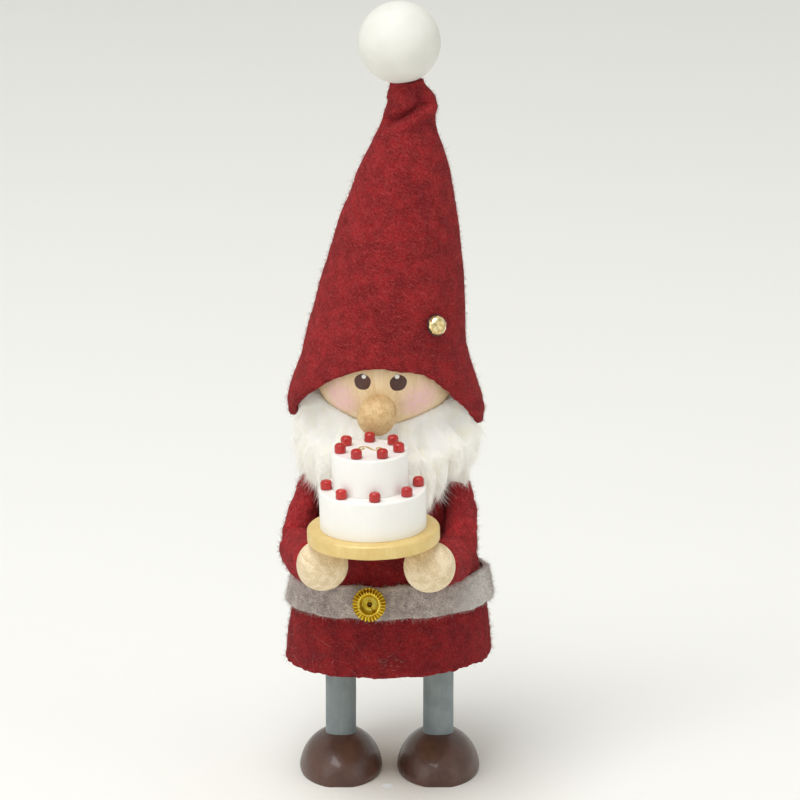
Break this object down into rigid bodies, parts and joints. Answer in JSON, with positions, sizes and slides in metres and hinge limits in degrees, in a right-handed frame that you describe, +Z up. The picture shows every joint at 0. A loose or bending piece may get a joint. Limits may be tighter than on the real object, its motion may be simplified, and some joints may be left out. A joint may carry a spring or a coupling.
{
  "type": "gnome figurine",
  "caption": "Standing gnome figurine of turned wood and felt: tall pointed hat with a ball tip, fleece beard, belted coat, and ball hands holding a round tray with a tiered cake.",
  "frame": {"origin": "middle of the footprint box, at ground level under the soles", "axes": "+Z up along the figure, the face looks along -Y, +X is the side of the hat's crystal"},
  "size_m": [0.041, 0.061, 0.1541],
  "materials": {
    "red_felt": "thick crimson wool felt with a hairy nap",
    "grey_felt": "heathered grey wool felt",
    "wool_fleece": "off-white wool fleece, curled locks",
    "bare_wood": "sanded pale wood, thin clear coat",
    "core_wood": "plain turned wood, unpainted",
    "white_paint": "satin white paint on turned wood",
    "gold_paint": "satin gold paint on turned wood",
    "cherry_paint": "gloss red paint on small wooden beads",
    "leg_paint": "matte blue-grey paint on dowel",
    "shoe_paint": "satin brown paint on turned wood",
    "gold_foil": "metallised gold cup sequin",
    "crystal": "cut glass with a foil back",
    "steel_wire": "plain steel wire"
  },
  "bodies": {
    "root": {"shoe_left": "shoe_paint", "shoe_right": "shoe_paint", "leg_left": "leg_paint", "leg_right": "leg_paint", "body_core": "core_wood", "neck_peg": "core_wood", "arm_wire": "steel_wire", "coat": "red_felt", "belt": "grey_felt", "buckle": "gold_foil", "sleeve_left": "red_felt", "sleeve_right": "red_felt", "hand_left": "bare_wood", "hand_right": "bare_wood", "head": "bare_wood", "nose": "bare_wood", "beard": "wool_fleece", "hat": "red_felt", "hat_ball": "white_paint", "hat_crystal": "crystal", "tray": "gold_paint", "cake_lower_tier": "white_paint", "cake_upper_tier": "white_paint", "cherry_upper_1": "cherry_paint", "cherry_upper_2": "cherry_paint", "cherry_upper_3": "cherry_paint", "cherry_upper_4": "cherry_paint", "cherry_upper_5": "cherry_paint", "cherry_upper_6": "cherry_paint", "cherry_upper_7": "cherry_paint", "cherry_lower_1": "cherry_paint", "cherry_lower_2": "cherry_paint", "cherry_lower_3": "cherry_paint", "cherry_lower_4": "cherry_paint", "cherry_lower_5": "cherry_paint", "cherry_lower_6": "cherry_paint", "cherry_lower_7": "cherry_paint", "cherry_lower_8": "cherry_paint"}
  },
  "joints": []
}
